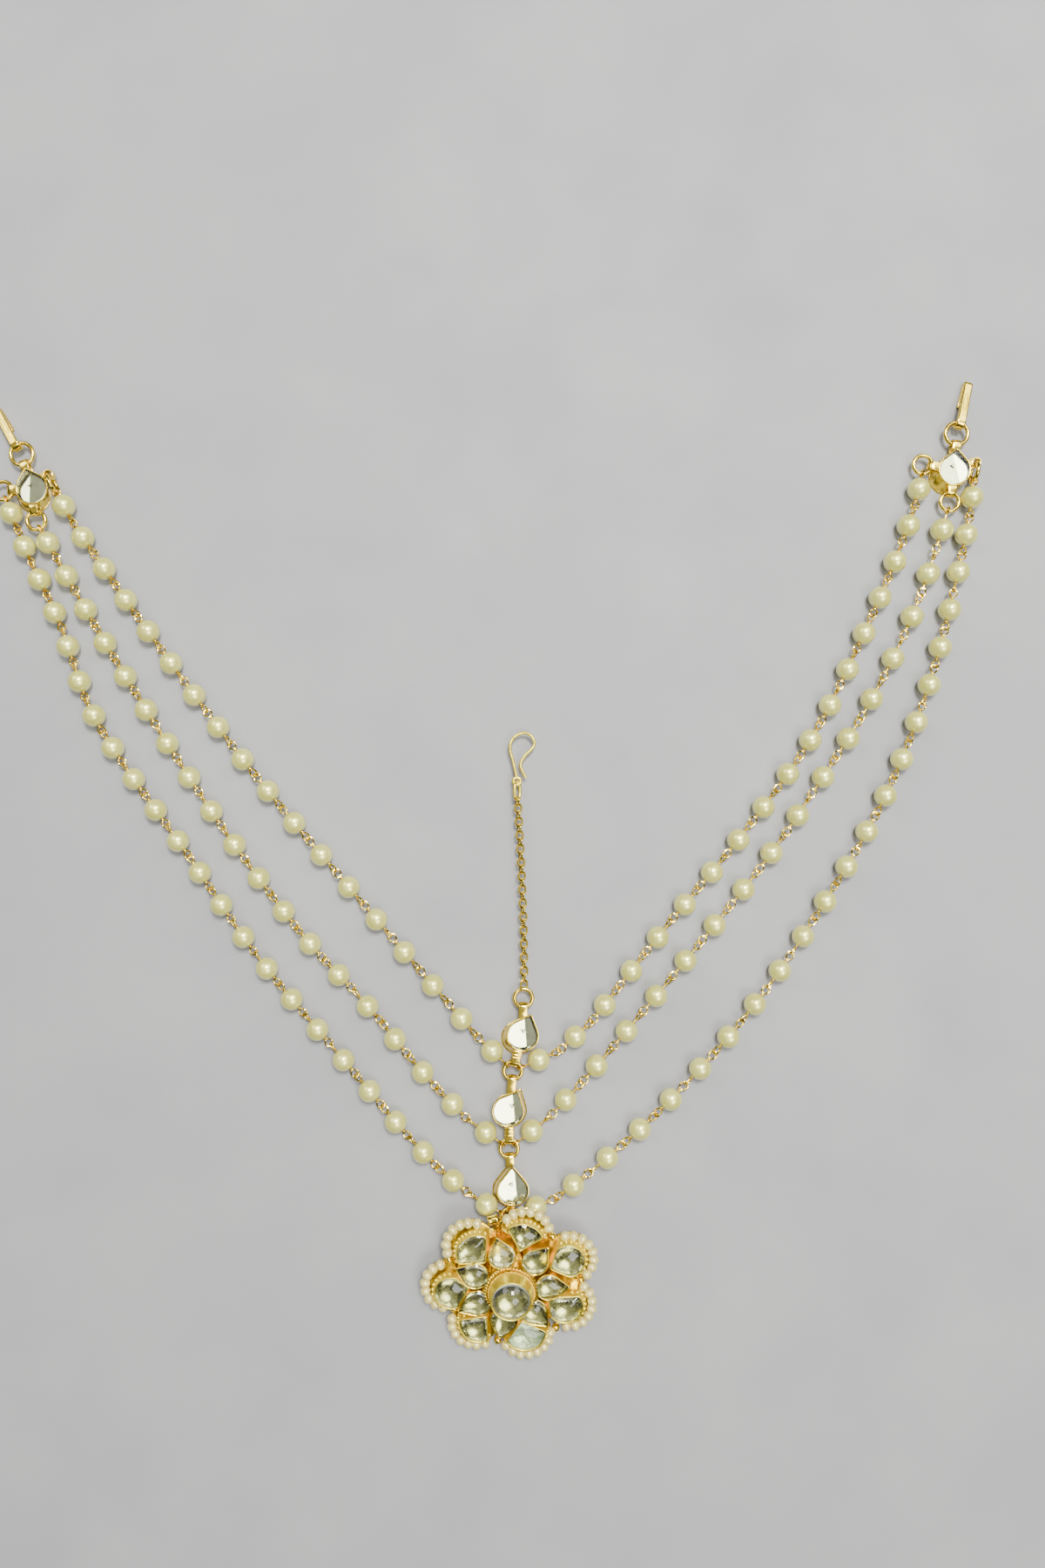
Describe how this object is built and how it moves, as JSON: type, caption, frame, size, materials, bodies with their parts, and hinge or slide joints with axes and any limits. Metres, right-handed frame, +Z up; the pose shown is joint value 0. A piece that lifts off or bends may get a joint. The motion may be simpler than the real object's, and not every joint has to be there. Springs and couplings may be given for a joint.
{
  "type": "matha patti",
  "caption": "Hair and forehead jewel: a stone-set flower pendant on a column of drops and a chain to a crown hook, with pearl strands running to a hooked drop at each side.",
  "frame": {"origin": "under the flower pendant, 1 mm from its middle, on the surface that the jewel lies on", "axes": "+Z up from that surface, +Y from the flower to the crown hook, +X to the right strands"},
  "size_m": [0.2482, 0.2452, 0.0148],
  "materials": {
    "gold": "warm polished gold plate on brass",
    "gold_wire": "bright gold-plated wire",
    "pearl": "cream pearl with a soft lustre",
    "seed_pearl": "small cream pearls",
    "domed_stone": "clear domed stone on silver foil",
    "cut_stone": "clear flat-cut stone on silver foil"
  },
  "bodies": {
    "root": {"crown_hook": "gold", "crown_hook_ring": "gold", "crown_chain": "gold", "chain_ring": "gold", "flower_setting": "gold", "lower_drop_setting": "gold", "middle_drop_setting": "gold", "upper_drop_setting": "gold", "lower_junction_ring": "gold", "middle_junction_ring": "gold", "upper_junction_ring": "gold", "side_setting_left": "gold", "side_setting_right": "gold", "side_hook_left": "gold", "side_hook_right": "gold", "hook_ring_left": "gold", "hook_ring_right": "gold", "strand_ring_left_outer": "gold", "strand_ring_left_middle": "gold", "strand_ring_left_inner": "gold", "strand_ring_right_outer": "gold", "strand_ring_right_middle": "gold", "strand_ring_right_inner": "gold", "wires_left_outer": "gold_wire", "wires_left_middle": "gold_wire", "wires_left_inner": "gold_wire", "wires_right_outer": "gold_wire", "wires_right_middle": "gold_wire", "wires_right_inner": "gold_wire", "pearls_left_outer": "pearl", "pearls_left_middle": "pearl", "pearls_left_inner": "pearl", "pearls_right_outer": "pearl", "pearls_right_middle": "pearl", "pearls_right_inner": "pearl", "seed_pearl_rim": "seed_pearl", "centre_stone": "domed_stone", "petal_stone_1": "domed_stone", "petal_stone_2": "domed_stone", "petal_stone_3": "domed_stone", "petal_stone_4": "domed_stone", "petal_stone_5": "domed_stone", "petal_stone_6": "domed_stone", "petal_stone_7": "domed_stone", "leaf_stone_1": "domed_stone", "leaf_stone_2": "domed_stone", "leaf_stone_3": "domed_stone", "leaf_stone_4": "domed_stone", "leaf_stone_5": "domed_stone", "leaf_stone_6": "domed_stone", "leaf_stone_7": "domed_stone", "lower_drop_stone": "cut_stone", "middle_drop_stone": "cut_stone", "upper_drop_stone": "cut_stone", "side_stone_left": "cut_stone", "side_stone_right": "cut_stone"}
  },
  "joints": []
}
